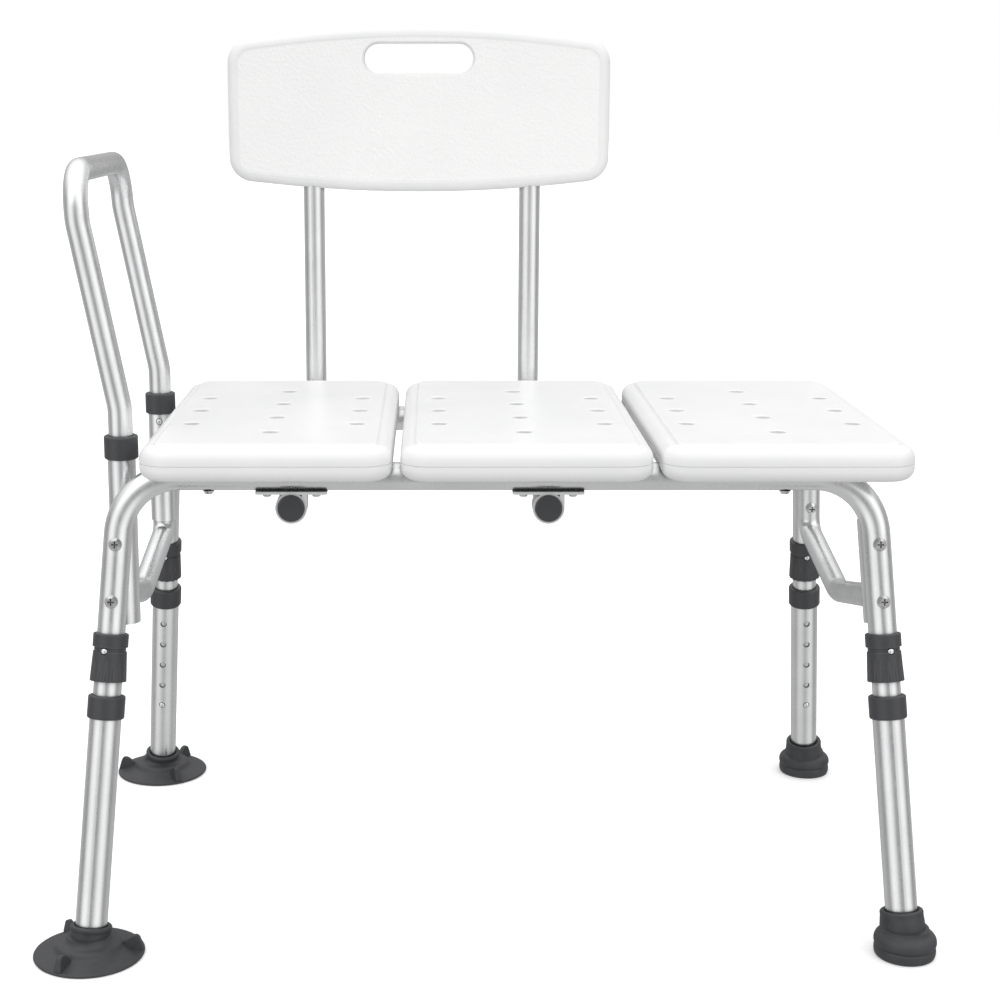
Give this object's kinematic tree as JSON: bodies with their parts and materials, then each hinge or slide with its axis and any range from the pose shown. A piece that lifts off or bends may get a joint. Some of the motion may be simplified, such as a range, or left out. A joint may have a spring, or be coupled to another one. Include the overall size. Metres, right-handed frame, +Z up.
{
  "type": "bath transfer bench",
  "caption": "Bath transfer bench: bent aluminium tube frame with height-adjustable legs, white moulded seat pads, slide-in backrest with a handle slot, and a lift-off side arm rail.",
  "frame": {"origin": "on the floor, under the middle of the bench's outline", "axes": "+Z up, +Y to the back of the bench, +X to the right as seen from its front"},
  "size_m": [0.8144, 0.5612, 0.833],
  "materials": {
    "bright_aluminium": "satin anodised tube",
    "bracket_metal": "brushed strip",
    "bright_screws": "polished cross-head",
    "button_steel": "domed snap button",
    "dark_plastic": "moulded, slightly glossy",
    "foot_rubber": "dark grey rubber",
    "seat_plastic": "white blow-moulded",
    "backrest_plastic": "white blow-moulded, pebbled"
  },
  "bodies": {
    "base": {"front_frame": "bright_aluminium", "rear_frame": "bright_aluminium", "upper_collar_front_left": "dark_plastic", "upper_collar_front_right": "dark_plastic", "upper_collar_rear_left": "dark_plastic", "upper_collar_rear_right": "dark_plastic", "inner_leg_tube_front_left": "bright_aluminium", "inner_leg_tube_front_right": "bright_aluminium", "inner_leg_tube_rear_left": "bright_aluminium", "inner_leg_tube_rear_right": "bright_aluminium", "arm_sleeve_front": "bright_aluminium", "arm_sleeve_rear": "bright_aluminium", "arm_collar_front": "dark_plastic", "arm_collar_rear": "dark_plastic", "brace_doubler_tube": "bright_aluminium", "side_brace_left": "bright_aluminium", "side_brace_right": "bright_aluminium", "leg_bolts": "bright_screws", "leg_nuts": "bright_screws", "leg_spacers": "dark_plastic", "brace_inserts": "dark_plastic", "back_bracket_front_left": "bracket_metal", "back_bracket_front_right": "bracket_metal", "back_bracket_rear_left": "bracket_metal", "back_bracket_rear_right": "bracket_metal", "back_bushing_front_left": "dark_plastic", "back_bushing_front_right": "dark_plastic", "back_bushing_rear_left": "dark_plastic", "back_bushing_rear_right": "dark_plastic", "seat_screws": "bright_screws", "seat_pad_left": "seat_plastic", "seat_pad_middle": "seat_plastic", "seat_pad_right": "seat_plastic"},
    "leg_front_left": {"lower_leg_tube_front_left": "bright_aluminium", "lower_collar_front_left": "dark_plastic", "suction_cup_front_left": "foot_rubber"},
    "leg_front_right": {"lower_leg_tube_front_right": "bright_aluminium", "lower_collar_front_right": "dark_plastic", "rubber_tip_front_right": "foot_rubber"},
    "leg_rear_left": {"lower_leg_tube_rear_left": "bright_aluminium", "lower_collar_rear_left": "dark_plastic", "suction_cup_rear_left": "foot_rubber"},
    "leg_rear_right": {"lower_leg_tube_rear_right": "bright_aluminium", "lower_collar_rear_right": "dark_plastic", "rubber_tip_rear_right": "foot_rubber"},
    "height_catch_front_left": {"height_button_front_left": "button_steel"},
    "height_catch_front_right": {"height_button_front_right": "button_steel"},
    "height_catch_rear_left": {"height_button_rear_left": "button_steel"},
    "height_catch_rear_right": {"height_button_rear_right": "button_steel"},
    "coupling_catch_front_left": {"coupling_button_front_left": "button_steel"},
    "coupling_catch_front_right": {"coupling_button_front_right": "button_steel"},
    "coupling_catch_rear_left": {"coupling_button_rear_left": "button_steel"},
    "coupling_catch_rear_right": {"coupling_button_rear_right": "button_steel"},
    "arm_rest": {"arm_rail": "bright_aluminium"},
    "arm_catch_front": {"arm_button_front": "button_steel"},
    "arm_catch_rear": {"arm_button_rear": "button_steel"},
    "backrest": {"backrest_panel": "backrest_plastic", "backrest_tube_left": "bright_aluminium", "backrest_tube_right": "bright_aluminium", "backrest_screws": "bright_screws"}
  },
  "joints": [
    {"name": "leg_height_front_left", "type": "slide", "parent": "base", "child": "leg_front_left", "axis": [-0.07, -0.1816, -0.9809], "range_m": [0, 0.1016], "deforming": ["height_button_front_left"]},
    {"name": "leg_height_front_right", "type": "slide", "parent": "base", "child": "leg_front_right", "axis": [0.07, -0.1816, -0.9809], "range_m": [0, 0.1016], "deforming": ["height_button_front_right"]},
    {"name": "leg_height_rear_left", "type": "slide", "parent": "base", "child": "leg_rear_left", "axis": [-0.07, 0.1816, -0.9809], "range_m": [0, 0.1016], "deforming": ["height_button_rear_left"]},
    {"name": "leg_height_rear_right", "type": "slide", "parent": "base", "child": "leg_rear_right", "axis": [0.07, 0.1816, -0.9809], "range_m": [0, 0.1016], "deforming": ["height_button_rear_right"]},
    {"name": "height_button_front_left_press", "type": "slide", "parent": "base", "child": "height_catch_front_left", "axis": [0.0129, -0.9834, 0.1812], "range_m": [0, 0.0038], "stiffness_N_per_m": 900},
    {"name": "height_button_front_right_press", "type": "slide", "parent": "base", "child": "height_catch_front_right", "axis": [-0.0129, -0.9834, 0.1812], "range_m": [0, 0.0038], "stiffness_N_per_m": 900},
    {"name": "height_button_rear_left_press", "type": "slide", "parent": "base", "child": "height_catch_rear_left", "axis": [0.0129, 0.9834, 0.1812], "range_m": [0, 0.0038], "stiffness_N_per_m": 900},
    {"name": "height_button_rear_right_press", "type": "slide", "parent": "base", "child": "height_catch_rear_right", "axis": [-0.0129, 0.9834, 0.1812], "range_m": [0, 0.0038], "stiffness_N_per_m": 900},
    {"name": "coupling_button_front_left_press", "type": "slide", "parent": "base", "child": "coupling_catch_front_left", "axis": [0.2118, 0.9582, -0.1925], "range_m": [0, 0.0048], "stiffness_N_per_m": 900},
    {"name": "coupling_button_front_right_press", "type": "slide", "parent": "base", "child": "coupling_catch_front_right", "axis": [-0.2118, 0.9582, -0.1925], "range_m": [0, 0.0048], "stiffness_N_per_m": 900},
    {"name": "coupling_button_rear_left_press", "type": "slide", "parent": "base", "child": "coupling_catch_rear_left", "axis": [0.0129, 0.9834, 0.1812], "range_m": [0, 0.0048], "stiffness_N_per_m": 900},
    {"name": "coupling_button_rear_right_press", "type": "slide", "parent": "base", "child": "coupling_catch_rear_right", "axis": [-0.0129, 0.9834, 0.1812], "range_m": [0, 0.0048], "stiffness_N_per_m": 900},
    {"name": "arm_rail_lift", "type": "slide", "parent": "base", "child": "arm_rest", "axis": [0, 0, 1], "range_m": [0, 0.085], "deforming": ["arm_button_front", "arm_button_rear"]},
    {"name": "arm_button_front_press", "type": "slide", "parent": "arm_rest", "child": "arm_catch_front", "axis": [0, -1, 0], "range_m": [0, 0.0036], "stiffness_N_per_m": 900},
    {"name": "arm_button_rear_press", "type": "slide", "parent": "arm_rest", "child": "arm_catch_rear", "axis": [0, 1, 0], "range_m": [0, 0.0036], "stiffness_N_per_m": 900},
    {"name": "backrest_slide", "type": "slide", "parent": "base", "child": "backrest", "axis": [0, 1, 0], "range_m": [0, 0.33]}
  ]
}
